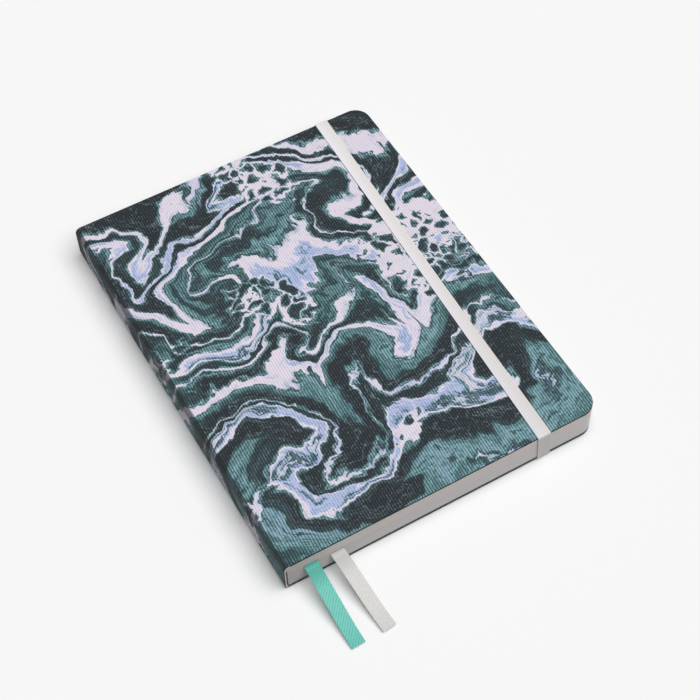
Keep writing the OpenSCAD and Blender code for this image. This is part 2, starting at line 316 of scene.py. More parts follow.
def marbled_cloth():
    look = Look("marbled_cloth")
    flat = look.print_place()
    u, v, _ = look.split(flat)

    # Number of the rib, and the place across it from 0 at one valley to 1 at the next
    phase = look.math("DIVIDE", look.minus(u, look.times(v, RIB_LEAN)), RIB_PITCH / PRINT_UNIT)
    rib = look.math("FLOOR", phase)
    across = look.math("FRACT", phase)
    hill = look.math("SINE", look.times(across, math.pi))
    rib_noise = look.add("TexWhiteNoise", {"W": rib}, noise_dimensions="1D").outputs["Value"]
    threads = look.noise(look.join(look.times(rib, 7.3), look.times(v, 42.0)), 1.0, 3.0)

    # Wet paint: bands across the cloth, stirred in swirls and shaken
    point = look.warp(flat, 3.4, 0.20, 1.0)
    point = look.warp(point, 9.0, 0.12, 3.0)
    for centre, radius, turn in SWIRLS:
        point = look.swirl(point, centre, radius, math.radians(turn))
    point = look.warp(point, 7.0, 0.11, 2.0)
    point = look.warp(point, 20.0, 0.06, 3.0)
    point = look.warp(point, 45.0, 0.018, 2.0)
    x, y, _ = look.split(point)
    wave = look.math("SINE", look.plus(look.times(x, 2 * math.pi / WAVE_L),
                                       look.times(y, math.radians(100))))
    y = look.minus(y, look.times(wave, WAVE_H))
    span = BANDS[-1][0] - BANDS[0][0]
    heights = [((place - BANDS[0][0]) / span, height) for place, height in BANDS]
    tone = look.curve(look.math("DIVIDE", look.minus(y, BANDS[0][0]), span), heights)
    drawn_out = look.join(look.times(x, 2.0), look.times(y, 5.0))
    flow = look.noise(drawn_out, 2.4, 7.0, 0.66)
    pools = look.noise(point, 2.2, 3.0, 0.6)
    tone = look.plus(tone, look.times(look.minus(flow, 0.5), 0.42))
    tone = look.plus(tone, look.times(look.minus(pools, 0.5), 0.40))

    # Teal washed over the ground in long streaks, and lace where pale ink broke into cells
    streaks = look.noise(look.join(look.times(x, 1.4), look.times(y, 17.0)), 1.6, 5.0, 0.7)
    washed = look.band(look.noise(look.vector("ADD", point, (5.3, 1.7, 0)), 1.3, 3.0), 0.47, 0.60)
    wash = look.plus(0.30, look.times(look.band(streaks, 0.28, 0.72), 0.25))
    lifted = look.math("MAXIMUM", tone, wash)
    tone = look.plus(tone, look.times(look.minus(lifted, tone), washed))
    web = look.warp(look.warp(flat, 8.0, 0.11, 2.0), 26.0, 0.05, 2.0)
    cells = look.add("TexVoronoi", {"Vector": web, "Scale": 14.0}, feature="DISTANCE_TO_EDGE")
    edge = cells.outputs["Distance"]
    edge = look.plus(edge, look.times(look.minus(pools, 0.5), 0.9))
    lace = look.plus(look.band(edge, 0.05, 0.30, 0.635, 0.30), look.times(flow, 0.06))
    laced = look.band(look.noise(look.vector("ADD", web, (2.9, 6.4, 0)), 1.9, 3.0), 0.57, 0.61)
    tone = look.plus(tone, look.times(look.minus(lace, tone), laced))

    # Each rib takes the ink a little further than its neighbour
    ragged = look.times(look.minus(rib_noise, 0.5), 0.012)
    speckle = look.times(look.minus(threads, 0.5), 0.04)
    tone = look.plus(tone, look.plus(ragged, speckle))
    ink = look.ramp(tone, INK_STOPS)

    # Fine silver threads of paint in the dark, and a blue or violet tinge in the pale
    light = look.band(look.add("RGBToBW", {0: ink}).outputs[0], 0.05, 0.55)
    thread = look.math("ABSOLUTE", look.minus(look.noise(point, 6.0, 5.0, 0.6), 0.5))
    thread = look.times(look.band(thread, 0.0, 0.012, 0.5, 0.0), look.band(washed, 0.0, 1.0, 1.0, 0.3))
    ink = look.mix(thread, ink, linear("#8fa9b2"))
    tinge = look.noise(look.vector("ADD", point, (1.1, 9.2, 0)), 3.2, 4.0, 0.6)
    ink = look.mix(look.times(look.band(tinge, 0.54, 0.70, 0.0, 0.45), light), ink, linear("#b4bae8"))

    # Valleys darker, partly where ink misses them and partly painted shade, least where it is pale; on dark
    # ground the rib tops show light threads, partly bare of ink and partly a painted highlight
    pale = look.band(look.add("RGBToBW", {0: ink}).outputs[0], 0.25, 0.65)
    valley = look.times(look.band(hill, 0.35, 0.85, 1.0, 0.0), look.band(pale, 0, 1, 0.7, 0.16))
    ink = look.mix(valley, ink, linear("#1b2226"))
    bare = look.noise(look.join(look.times(rib, 5.1), look.times(v, 90.0)), 1.0, 4.0, 0.7)
    crest = look.times(look.band(hill, 0.80, 0.98), look.band(bare, 0.50, 0.66))
    crest = look.times(crest, look.band(pale, 0, 1, 0.42, 0.1))
    ink = look.mix(crest, ink, linear("#93a9b0"))

    # Painted shade on the spine's cloth, strongest along its fold with the front cover
    crease = (FRONT_HINGE_X - CREASE_IN) / PRINT_UNIT
    fold_end = (FRONT_HINGE_X - FRONT_FOLD_R * FOLD_SHADE_REACH) / PRINT_UNIT
    back_fold = (FRONT_HINGE_X - BOOK_T) / PRINT_UNIT
    wear_and_shade = look.times(look.band(u, crease - 0.004, crease, 1.0, 0.0),
                      look.band(u, fold_end - 0.04, fold_end, 0.20, 0.75))
    wear_and_shade = look.times(wear_and_shade, look.band(u, back_fold, back_fold + 0.02))
    ink = look.mix(wear_and_shade, ink, linear("#252a2c"))

    yarn = look.noise(look.join(look.times(u, 420.0), look.times(v, 260.0)), 1.0)
    normal = look.bump(yarn, 0.00008, 0.5)
    roughness = look.band(yarn, 0.2, 0.8, 0.62, 0.86)
    return look.surface(ink, roughness, normal, Sheen_Weight=0.08, Sheen_Roughness=0.5,
                        Specular_IOR_Level=0.3)


def raw_card(name, light, dark):
    """Cut edge of a board: thin grey and pale layers of pressed fibre."""
    look = Look(name)
    x, y, z = look.split(look.place())
    stretched = look.join(look.times(x, 300.0), look.times(y, 300.0), look.times(z, 9000.0))
    layers = look.noise(stretched, 1.0, 3.0)
    fibres = look.noise(look.place(), 2500.0, 3.0)
    colour = look.mix(look.band(layers, 0.35, 0.65), linear(light), linear(dark))
    height = look.plus(look.times(layers, 0.6), look.times(fibres, 0.4))
    return look.surface(colour, look.band(fibres, 0.3, 0.7, 0.8, 0.95), look.bump(height, 0.00006, 0.6),
                        Specular_IOR_Level=0.2)


def plain_paper():
    """Smooth endpaper, with painted shade on its trimmed edges: grey on the front pair, dark on the back
    pair.
    """
    look = Look("endpaper")
    place = look.place()
    fibres = look.noise(place, 1400.0, 4.0, 0.6)
    cloud = look.noise(place, 60.0, 3.0)
    colour = look.mix(look.band(fibres, 0.3, 0.7), linear("#eeebe2"), linear("#f4f2ea"))
    colour = look.mix(look.times(look.band(cloud, 0.3, 0.7), 0.14), colour, linear("#e7e3d8"))
    # Painted shade on the side faces: grey for the front pair, near black for the back pair
    _, _, up = look.split(look.add("TexCoord", {}).outputs["Normal"])
    edge = look.band(look.math("ABSOLUTE", up), 0.4, 0.8, 1.0, 0.0)
    _, _, z = look.split(place)
    front_pair = look.band(z, 0.4 * BOOK_T, 0.6 * BOOK_T)
    back_edge_shade = look.mix(fibres, linear("#3c3a39"), linear("#2c2a29"))
    edge_shade = look.mix(front_pair, back_edge_shade, linear("#8f8b88"))
    colour = look.mix(edge, colour, edge_shade)
    return look.surface(colour, look.band(fibres, 0.2, 0.8, 0.72, 0.9), look.bump(fibres, 0.00003, 0.35),
                        Specular_IOR_Level=0.3)


def page_edges():
    """Trimmed leaves seen from their edges, with painted shade towards the spine."""
    look = Look("page_edges")
    x, y, z = look.split(look.place())
    leaves = look.noise(look.join(look.times(x, 12.0), look.times(y, 12.0),
                                  look.times(z, 8000.0)), 1.0, 3.0, 0.65)
    sections = look.noise(look.join(look.times(x, 4.0), look.times(y, 4.0),
                                    look.times(z, 700.0)), 1.0, 2.0)
    grain = look.noise(look.place(), 1800.0, 3.0)
    height = look.band(z, pages_low.z, pages_high.z)
    colour = look.mix(height, linear("#cccbcc"), linear("#d2cbc9"))
    colour = look.mix(look.times(look.band(leaves, 0.35, 0.72), 0.18), colour, linear("#a39e9b"))
    colour = look.mix(look.times(look.band(sections, 0.4, 0.65), 0.10), colour, linear("#9b9896"))
    # Painted shade on the leaves' edges, strongest near the spine
    spine_shade = look.plus(look.band(x, SPINE_X, SPINE_X + 0.03, 0.36, 0.0),
                           look.band(x, SPINE_X, FORE_X, 0.1, 0.0))
    colour = look.mix(spine_shade, colour, linear("#8c8a88"))

    # Painted shade along the first leaves, just over the back cover
    back_cover_shade = look.band(z, pages_low.z + 0.0002, pages_low.z + 0.0009, 0.8, 0.0)
    colour = look.mix(back_cover_shade, colour, linear("#3c3a39"))

    # Painted shade where the leaves part in a fine line at the grey ribbon, and in a slit over each ribbon
    off_parting = look.math("ABSOLUTE", look.minus(z, GREY_EXIT.z))
    parting_shade = look.times(look.band(off_parting, 0.00006, 0.00018, 0.55, 0.0),
                         look.band(x, GREY_EXIT.x, GREY_EXIT.x + 0.07, 1.0, 0.0))
    colour = look.mix(parting_shade, colour, linear("#6f6c6a"))
    at_tail = look.band(y, TAIL_Y + 0.001, TAIL_Y + 0.002, 1.0, 0.0)
    for exit_place in (MINT_EXIT, GREY_EXIT):
        above = look.math("ABSOLUTE", look.minus(z, exit_place.z + RIBBON_T))
        beside = look.math("ABSOLUTE", look.minus(x, exit_place.x))
        opening_shade = look.times(look.band(above, 0.0001, 0.0004, 0.7, 0.0),
                             look.band(beside, RIBBON_W / 2, RIBBON_W / 2 + 0.0008, 1.0, 0.0))
        colour = look.mix(look.times(opening_shade, at_tail), colour, linear("#454342"))

    height_of_grain = look.plus(look.times(leaves, 0.8), look.times(grain, 0.2))
    return look.surface(colour, look.band(grain, 0.3, 0.7, 0.82, 0.95),
                        look.bump(height_of_grain, 0.00004, 0.4), Specular_IOR_Level=0.2)


def gauze():
    """Open-weave lining soaked in glue."""
    look = Look("gauze")
    _, y, z = look.split(look.place())
    waves = [look.math("SINE", look.times(way, 2 * math.pi / GAUZE_PITCH)) for way in (y, z)]
    weave = look.math("MAXIMUM", *waves)
    slub = look.noise(look.place(), 500.0, 3.0)
    height = look.plus(look.times(weave, 0.5), slub)
    colour = look.mix(look.band(height, 0.2, 0.9), linear("#bdb7a6"), linear("#e3dfd3"))
    return look.surface(colour, look.band(slub, 0.3, 0.7, 0.75, 0.95), look.bump(height, 0.00015, 0.8),
                        Specular_IOR_Level=0.2)


def woven_elastic():
    """White knitted elastic: fine stitches across the lengthwise ridges, which are in the mesh."""
    look = Look("woven_elastic")
    u, v, _ = look.split(look.print_place())
    ridge = look.math("ABSOLUTE", look.math("SINE", look.times(u, math.pi * BAND_RIDGES)))
    stitch = look.math("SINE", look.times(v, 2 * math.pi / STITCH_PITCH))
    fuzz = look.noise(look.place(), 3200.0, 3.0)
    height = look.plus(look.times(stitch, 0.35), fuzz)
    yarn = look.mix(look.band(u, 0.05, 0.95), linear("#f2f0f6"), linear("#ebe5e0"))
    colour = look.mix(look.band(ridge, 0.0, 0.55), linear("#c9c6ca"), yarn)
    colour = look.mix(look.times(look.band(fuzz, 0.5, 0.75), 0.25), colour, linear("#d4d0ce"))
    _, y, z = look.split(look.place())
    colour = look.mix(look.band(y, TAIL_Y, HEAD_Y, 0.35, 0.0), colour, linear("#cbc8c8"))
    # Painted shade where the elastic runs down the book's sides
    colour = look.mix(look.band(z, BOOK_T - 0.0015, BOOK_T, 0.5, 0.0), colour, linear("#a5a19a"))
    return look.surface(colour, look.band(fuzz, 0.2, 0.8, 0.6, 0.85), look.bump(height, 0.00005, 0.5),
                        Sheen_Weight=0.1, Specular_IOR_Level=0.35)


def twill_ribbon(name, twill, light, dark):
    """Satin ribbon; its diagonal ridges are in the mesh and show here as lighter and darker yarn."""
    look = Look(name)
    u, v, _ = look.split(look.print_place())
    phase = look.plus(look.times(v, twill[0]), look.times(u, twill[1]))
    ridge = look.math("ABSOLUTE", look.math("SINE", look.times(phase, math.pi)))
    yarn = look.noise(look.join(look.times(u, 9000.0), look.times(v, 1500.0)), 1.0, 2.0)
    cloud = look.noise(look.join(look.times(u, 500.0), look.times(v, 220.0)), 1.0, 2.0)
    # Worn patches of the ribbon's yarn, lighter
    wear_and_shade = look.noise(look.join(look.times(u, 1400.0), look.times(v, 700.0)), 1.0, 3.0)
    top = look.math("MAXIMUM", look.band(ridge, 0.1, 0.75, 0.3, 1.0), look.band(wear_and_shade, 0.45, 0.65))
    colour = look.mix(top, linear(dark), linear(light))
    colour = look.mix(look.times(look.band(yarn, 0.45, 0.7), 0.3), colour, linear(dark))
    colour = look.mix(look.times(look.band(cloud, 0.5, 0.8), 0.3), colour, linear(light))
    # Painted shade near the exit, strongest just past the bend about 3 mm out and gone by 13 mm
    bend_shade = look.times(look.band(v, 0.0016, 0.0028, 0.6, 1.0), look.band(v, 0.003, 0.013, 0.8, 0.0))
    colour = look.mix(bend_shade, colour, linear(dark))
    return look.surface(colour, look.band(yarn, 0.2, 0.8, 0.42, 0.62), look.bump(yarn, 0.00003, 0.5),
                        Sheen_Weight=0.15, Specular_IOR_Level=0.5)


def cut_edge(name, light, dark):
    """Threads of the cloth seen at its cut edge."""
    look = Look(name)
    fibres = look.noise(look.place(), 3000.0, 3.0)
    cloud = look.noise(look.place(), 250.0, 2.0)
    colour = look.mix(look.band(fibres, 0.3, 0.7), linear(dark), linear(light))
    colour = look.mix(look.times(look.band(cloud, 0.4, 0.7), 0.4), colour, linear(light))
    return look.surface(colour, look.band(fibres, 0.3, 0.7, 0.8, 0.95), look.bump(fibres, 0.00004, 0.5),
                        Specular_IOR_Level=0.2)


# Bends sharper than this stay edges: on most pieces, and on those with fine ridges
SHARP_DEG = 60
FINE_SHARP_DEG = 50


def piece(name, mesh, materials, body, slot, *nodes):
    """A finished piece in the row frame, on its body, standing for its CAD nodes."""
    for material in materials:
        mesh.materials.append(material)
    made = bpy.data.objects.new(name, mesh)
    bpy.context.collection.objects.link(made)
    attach(made, body)
    if nodes:
        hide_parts(*nodes)
    return made


def mesh_of(name, work, sharp_deg=SHARP_DEG):
    """The mesh of a bmesh, with even outward faces, smooth where it bends gently."""
    bmesh.ops.recalc_face_normals(work, faces=work.faces)
    for face in work.faces:
        face.smooth = True
    mesh = bpy.data.meshes.new(name)
    work.to_mesh(mesh)
    work.free()
    mesh.set_sharp_from_angle(angle=math.radians(sharp_deg))
    return mesh


def tube(work, rings):
    """Faces round a run of rings and over its two ends."""
    faces = []
    for low, high in zip(rings, rings[1:]):
        for i in range(len(low)):
            faces.append(work.faces.new((low[i - 1], low[i], high[i], high[i - 1])))
    return faces + [work.faces.new(rings[0]), work.faces.new(rings[-1])]


def lay_flat(faces, flat, uv_of):
    """Gives each corner of the faces its vertex's place on the cloth laid flat."""
    for face in faces:
        for loop in face.loops:
            loop[flat].uv = uv_of[loop.vert]


def rib_depth(s, y):
    """How far the cloth lies under its rib tops, s along the laid-flat cloth."""
    phase = (s - RIB_LEAN * y) / RIB_PITCH
    return RIB_DEPTH * (1 - abs(math.sin(math.pi * phase)) ** RIB_SHAPE)


def row_places():
    """Rows from tail to head, close together at the round corners."""
    turn = [math.pi / 2 * i / CORNER_ROWS for i in range(CORNER_ROWS + 1)]
    tail = [TAIL_Y + CORNER_R * (1 - math.cos(a)) for a in turn]
    straight = HEAD_Y - TAIL_Y - 2 * CORNER_R
    count = round(straight / ROW_STEP)
    middle = [tail[-1] + straight * i / count for i in range(1, count)]
    return tail + middle + [-y for y in reversed(tail)]


def fore_edge(y):
    """The fore-edge at a height of the page, round at its two corners."""
    past = abs(y) - (HEAD_Y - CORNER_R)
    if past <= 0:
        return FORE_X
    return FORE_X - CORNER_R + math.sqrt(max(CORNER_R ** 2 - past ** 2, 0))


def ribbed_grid(work, s_low, s_high, surface, depth_of):
    """A sheet of cloth whose columns follow the ribs, cut off where the cloth ends."""
    step = RIB_PITCH / RIB_STEPS
    rows = row_places()
    lean = RIB_LEAN * HEAD_Y
    first = math.floor((min(s_low(y) for y in rows) - lean) / step)
    last = math.ceil((max(s_high(y) for y in rows) + lean) / step)
    flat = work.loops.layers.uv.get("print") or work.loops.layers.uv.new("print")
    places = {}
    grid = []
    for y in rows:
        line = []
        for k in range(first, last + 1):
            s = min(max(k * step + RIB_LEAN * y, s_low(y)), s_high(y))
            if line and places[line[-1]][0] == s:
                line.append(line[-1])
                continue
            vertex = work.verts.new(surface(s, y, depth_of(s, y)))
            places[vertex] = (s, y)
            line.append(vertex)
        grid.append(line)
    for low, high in zip(grid, grid[1:]):
        for k in range(len(low) - 1):
            around = []
            for vertex in (low[k], low[k + 1], high[k + 1], high[k]):
                if vertex not in around:
                    around.append(vertex)
            if len(around) < 3:
                continue
            face = work.faces.new(around)
            for loop in face.loops:
                s, y = places[loop.vert]
                loop[flat].uv = (s / PRINT_UNIT, y / PRINT_UNIT)
    return flat


def close_below(work, flat, inner_of):
    """Gives an open sheet its thickness: a wall round its edge and a flat underside."""
    rim = [edge for edge in work.edges if edge.is_boundary]
    uv_of = {loop.vert: loop[flat].uv.copy() for face in work.faces for loop in face.loops}
    made = bmesh.ops.extrude_edge_only(work, edges=rim)
    new_faces = [g for g in made["geom"] if isinstance(g, bmesh.types.BMFace)]
    new_verts = [g for g in made["geom"] if isinstance(g, bmesh.types.BMVert)]
    for vertex in new_verts:
        near = next(v for edge in vertex.link_edges for v in edge.verts if v in uv_of)
        uv_of[vertex] = uv_of[near]
        vertex.co = inner_of(vertex.co)
    new_edges = [g for g in made["geom"] if isinstance(g, bmesh.types.BMEdge)]
    rim = [edge for edge in new_edges if edge.is_boundary]
    new_faces += bmesh.ops.edgeloop_fill(work, edges=rim)["faces"]
    lay_flat(new_faces, flat, uv_of)


def bare_walls(work, joint_x):
    """The cut edges of the cloth show bare threads, all but where it goes on round the spine."""
    for face in work.faces:
        face.normal_update()
        middle = face.calc_center_median()
        if abs(face.normal.z) < 0.5 and abs(middle.x - joint_x) > CLOTH_T:
            face.material_index = 1


def front_cover_cloth(materials):
    work = bmesh.new()
    flat = ribbed_grid(work, lambda y: FRONT_HINGE_X, fore_edge,
                       lambda s, y, depth: (s, y, BOOK_T - depth), rib_depth)
    close_below(work, flat, lambda co: (co.x, co.y, BOOK_T - CLOTH_T))
    bare_walls(work, FRONT_HINGE_X)
    mesh = mesh_of("front_cover_cloth", work)
    piece("front_cover_cloth", mesh, materials, "front_cover", "cover_cloth", "front_cloth")


# The spine on the laid-flat cloth: front fold, flat back and back fold, leftwards from the front hinge
FRONT_FOLD_L = FRONT_FOLD_R * math.pi / 2
BACK_FOLD_L = BACK_FOLD_R * math.pi / 2
SPINE_FLAT_L = BOOK_T - FRONT_FOLD_R - BACK_FOLD_R
SPINE_L = FRONT_FOLD_L + SPINE_FLAT_L + BACK_FOLD_L


def spine_surface(s, y, depth):
    """A point of the spine, by its distance from the front hinge and its depth in the cloth."""
    run = FRONT_HINGE_X - s
    if run < FRONT_FOLD_L:
        angle = run / FRONT_FOLD_R
        radius = FRONT_FOLD_R - depth
        return (FRONT_HINGE_X - radius * math.sin(angle), y, BOOK_T - FRONT_FOLD_R + radius * math.cos(angle))
    run -= FRONT_FOLD_L
    if run < SPINE_FLAT_L:
        return (SPINE_X + depth, y, BOOK_T - FRONT_FOLD_R - run)
    angle = min(run - SPINE_FLAT_L, BACK_FOLD_L) / BACK_FOLD_R
    radius = BACK_FOLD_R - depth
    return (BACK_HINGE_X - radius * math.cos(angle), y, BACK_FOLD_R - radius * math.sin(angle))


def spine_cover_cloth(materials):
    work = bmesh.new()
    limits = (lambda y: FRONT_HINGE_X - SPINE_L, lambda y: FRONT_HINGE_X)
    ribbed_grid(work, *limits, spine_surface, rib_depth)
    outer = [edge for edge in work.edges if edge.is_boundary]
    ribbed_grid(work, *limits, spine_surface, lambda s, y: CLOTH_T)
    inner = [edge for edge in work.edges if edge.is_boundary and edge not in set(outer)]
    walls = bmesh.ops.bridge_loops(work, edges=outer + inner)
    flat = work.loops.layers.uv["print"]
    uv_of = {}
    for face in set(work.faces) - set(walls["faces"]):
        for loop in face.loops:
            uv_of[loop.vert] = loop[flat].uv.copy()
    lay_flat(walls["faces"], flat, uv_of)
    for face in walls["faces"]:
        if abs(abs(face.calc_center_median().y) - HEAD_Y) < SEAT_GAP:
            face.material_index = 1
    mesh = mesh_of("spine_cover_cloth", work)
    piece("spine_cover_cloth", mesh, materials, "book_block", "cover_cloth", "spine_cloth")


def back_cover_cloth(materials):
    """The laid-flat cloth goes on under the book, so its print continues round the spine."""
    start = FRONT_HINGE_X - SPINE_L
    work = bmesh.new()
    flat = ribbed_grid(work, lambda y: start - (fore_edge(y) - BACK_HINGE_X), lambda y: start,
                       lambda s, y, depth: (BACK_HINGE_X + start - s, y, depth), rib_depth)
    seat_half = BAND_W / 2 + SEAT_GAP
    seat_l = SLOT_MARGIN + SLOT_W / 2
    for side in (-1, 1):
        inner_y = side * (HEAD_Y - seat_l)
        region = [f for f in work.faces if side * f.calc_center_median().y > HEAD_Y - seat_l - ROW_STEP
                  and abs(f.calc_center_median().x - BAND_SLOT_X) < 2 * seat_half]
        for place, normal in (
            ((BAND_SLOT_X - seat_half, 0, 0), (1, 0, 0)),
            ((BAND_SLOT_X + seat_half, 0, 0), (1, 0, 0)),
            ((0, inner_y, 0), (0, 1, 0)),
        ):
            edges = {edge for face in region for edge in face.edges}
            corners = {vertex for face in region for vertex in face.verts}
            geometry = list(set(region) | edges | corners)
            cut = bmesh.ops.bisect_plane(work, geom=geometry, plane_co=place, plane_no=normal)
            region = [g for g in cut["geom"] if isinstance(g, bmesh.types.BMFace)]
        inside = [f for f in region if abs(f.calc_center_median().x - BAND_SLOT_X) < seat_half
                  and side * f.calc_center_median().y > HEAD_Y - seat_l]
        bmesh.ops.delete(work, geom=inside, context="FACES")
    close_below(work, flat, lambda co: (co.x, co.y, CLOTH_T))
    bare_walls(work, BACK_HINGE_X)
    mesh = mesh_of("back_cover_cloth", work)
    piece("back_cover_cloth", mesh, materials, "back_cover", "cover_cloth", "back_cloth")


# Pages: each leaf's edge stands a hair in or out of its neighbours
LEAF_T = 0.000105
LEAF_GROOVE = 0.00003
LEAF_SPREAD = 0.00003
# Shares of a leaf's thickness between which its edge stands out
LEAF_EDGE = (0.25, 0.8)
PARTING_DEPTH = 0.0003
SHOULDER_TOP_Z = BOOK_T - FRONT_FOLD_R
SWELL_H = 0.0015
SHOULDER_R = FRONT_HINGE_X - pages_low.x
PAGES_X = SPINE_X + 0.0017
EDGE_POINTS = 12
CORNER_POINTS = 8


def pages_back(z):
    """The back of the pages at a height: flat, then swelling out into the round shoulder."""
    if z <= SHOULDER_TOP_Z - SWELL_H:
        return PAGES_X
    if z <= SHOULDER_TOP_Z:
        share = (z - SHOULDER_TOP_Z + SWELL_H) / SWELL_H
        return PAGES_X + share * (pages_low.x - PAGES_X)
    return FRONT_HINGE_X - math.sqrt(SHOULDER_R ** 2 - (z - SHOULDER_TOP_Z) ** 2)


def leaf_ring(z, inset):
    """A leaf's outline, trimmed by an inset at head, tail and fore-edge."""
    back = pages_back(z)
    corner_x = FORE_X - CORNER_R
    points = [(back + (corner_x - back) * i / EDGE_POINTS, TAIL_Y + inset) for i in range(EDGE_POINTS)]
    radius = CORNER_R - inset
    for i in range(CORNER_POINTS + 1):
        angle = math.pi / 2 * i / CORNER_POINTS
        points.append((corner_x + radius * math.sin(angle), TAIL_Y + CORNER_R - radius * math.cos(angle)))
    straight = HEAD_Y - TAIL_Y - 2 * CORNER_R
    for i in range(1, EDGE_POINTS):
        points.append((FORE_X - inset, TAIL_Y + CORNER_R + straight * i / EDGE_POINTS))
    return points + [(x, -y) for x, y in reversed(points[:EDGE_POINTS + CORNER_POINTS + 1])]


def page_stack(material):
    work = bmesh.new()
    total = pages_high.z - pages_low.z
    count = round(total / LEAF_T)
    levels = []
    for i in range(count):
        low = pages_low.z + total * i / count
        inset = random.uniform(0, LEAF_SPREAD)
        groove = inset + LEAF_GROOVE
        if abs(low - GREY_EXIT.z) < LEAF_T / 2:
            groove = PARTING_DEPTH
        levels.append((low, groove))
        levels += [(low + share * total / count, inset) for share in LEAF_EDGE]
    levels.append((pages_high.z, LEAF_GROOVE))
    rings = [[work.verts.new((x, y, z)) for x, y in leaf_ring(z, inset)] for z, inset in levels]
    tube(work, rings)
    mesh = mesh_of("page_stack", work, FINE_SHARP_DEG)
    piece("page_stack", mesh, [material], "book_block", "pages", "text_block")


def arc(centre_y, centre_z, radius, start_deg, end_deg, steps=6):
    """Points of an arc in the Y-Z plane with their outward direction."""
    points = []
    for i in range(steps + 1):
        angle = math.radians(start_deg + (end_deg - start_deg) * i / steps)
        out = (math.cos(angle), math.sin(angle))
        points.append((centre_y + radius * out[0], centre_z + radius * out[1], out))
    return points


def band_path():
    """The elastic from its tail slot round the book to its head slot: x, y, z and outward direction."""
    half = BAND_T / 2
    slot_y = TAIL_Y + SLOT_MARGIN + SLOT_W / 2 - half
    tail = [(slot_y, COVER_T, (1, 0)), (slot_y, BAND_T, (1, 0))]
    tail += arc(slot_y - half, BAND_T, half, 0, -90)
    tail += [(TAIL_Y + BAND_LEVEL_IN, half, (0, -1))]
    tail += arc(TAIL_Y, BAND_T, half, -90, -180)
    tail += [(TAIL_Y - half, BOOK_T * i / 6, (-1, 0)) for i in range(1, 6)]
    tail += arc(TAIL_Y, BOOK_T, half, 180, 90)
    top = [(TAIL_Y + (HEAD_Y - TAIL_Y) * i / 40, BOOK_T + half, (0, 1)) for i in range(1, 40)]
    head = [(-y, z, (-out[0], out[1])) for y, z, out in reversed(tail)]
    path = []
    for y, z, out in tail + top + head:
        along = min(max((y - TAIL_Y) / (HEAD_Y - TAIL_Y), 0), 1)
        on_top = BAND_TAIL_X + (BAND_HEAD_X - BAND_TAIL_X) * along
        share = min(max(z / BOOK_T, 0), 1)
        inside = abs(y) < HEAD_Y and z < BOOK_T
        x = BAND_SLOT_X if inside else BAND_SLOT_X + (on_top - BAND_SLOT_X) * share
        path.append((Vector((x, y, z)), Vector((0, out[0], out[1]))))
    return path


def band_width(place):
    """The elastic's width at a place: its stretch draws it in over the front, most halfway along."""
    if place.z < BOOK_T:
        return BAND_W
    return BAND_WAIST_W + (BAND_W - BAND_WAIST_W) * min(abs(place.y) / HEAD_Y, 1) ** 2


def band_section():
    """Offsets across and out of the elastic: ridged outside, rounded edges, nearly flat inside."""
    half_w, half_t = BAND_W / 2, BAND_T / 2
    level_w = half_w - BAND_EDGE_R
    steps = BAND_RIDGES * RIDGE_STEPS
    outside = []
    for i in range(steps + 1):
        share = i / steps
        groove = BAND_GROOVE * (1 - abs(math.sin(math.pi * BAND_RIDGES * share)) ** BAND_GROOVE_SHAPE)
        outside.append((level_w * (2 * share - 1), half_t - (groove if 0 < i < steps else 0)))
    right = [(half_w - BAND_EDGE_R * (1 - math.cos(a)), half_t - BAND_EDGE_R + BAND_EDGE_R * math.sin(a))
             for a in (math.pi / 3, math.pi / 6, 0)]
    below = [(w, -t) for w, t in reversed(right)]
    left = [(-w, t) for w, t in reversed(below)] + [(-w, t) for w, t in reversed(right)]
    inside = [(level_w * (1 - 2 * i / 8), -half_t) for i in range(9)]
    return outside + right + below + inside + left


def elastic(material):
    work = bmesh.new()
    flat = work.loops.layers.uv.new("print")
    section = band_section()
    rings, along = [], []
    path = band_path()
    run = 0.0
    for i, (centre, out) in enumerate(path):
        if i:
            run += (centre - path[i - 1][0]).length
        along.append(run)
        narrow = band_width(centre) / BAND_W
        rings.append([work.verts.new(centre + Vector((w * narrow, 0, 0)) + out * t) for w, t in section])
    place = {}
    for ring, distance in zip(rings, along):
        for vertex, (w, _) in zip(ring, section):
            place[vertex] = (w / BAND_W + 0.5, distance)
    lay_flat(tube(work, rings), flat, place)
    mesh = mesh_of("elastic", work, FINE_SHARP_DEG)
    made = piece("elastic", mesh, [material], "back_cover", "elastic", "elastic_band")
    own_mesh(made)


def ribbon_way(exit_place):
    """Unit direction out of the pages in plan: the ribbon lies on the line from its glued end."""
    way = Vector((exit_place.x - RIBBON_ROOT.x, exit_place.y - RIBBON_ROOT.y, 0))
    return way.normalized()


def ribbon_points(exit_place):
    """The free ribbon's centreline as in the model: out of the tail, and down to the table."""
    way = ribbon_way(exit_place)
    foot = Vector((exit_place.x, exit_place.y, 0))
    low = RIBBON_T / 2
    return [foot + way * out + Vector((0, 0, low + share * (exit_place.z - low)))
            for out, share in RIBBON_DROP]


def smooth_line(points, step):
    """Evenly spaced points on a smooth curve through the given ones."""
    ends = [2 * points[0] - points[1]] + points + [2 * points[-1] - points[-2]]
    dense = []
    for a, b, c, d in zip(ends, ends[1:], ends[2:], ends[3:]):
        for i in range(40):
            t = i / 40
            dense.append(0.5 * (2 * b + (c - a) * t + (2 * a - 5 * b + 4 * c - d) * t ** 2
                                + (3 * b - a - 3 * c + d) * t ** 3))
    dense.append(points[-1])
    lengths = [0.0]
    for a, b in zip(dense, dense[1:]):
        lengths.append(lengths[-1] + (b - a).length)
    count = round(lengths[-1] / step)
    line, k = [], 0
    for i in range(count + 1):
        target = lengths[-1] * i / count
        while k < len(dense) - 2 and lengths[k + 1] < target:
            k += 1
        share = (target - lengths[k]) / max(lengths[k + 1] - lengths[k], 1e-12)
        line.append(dense[k].lerp(dense[k + 1], min(share, 1)))
    return line


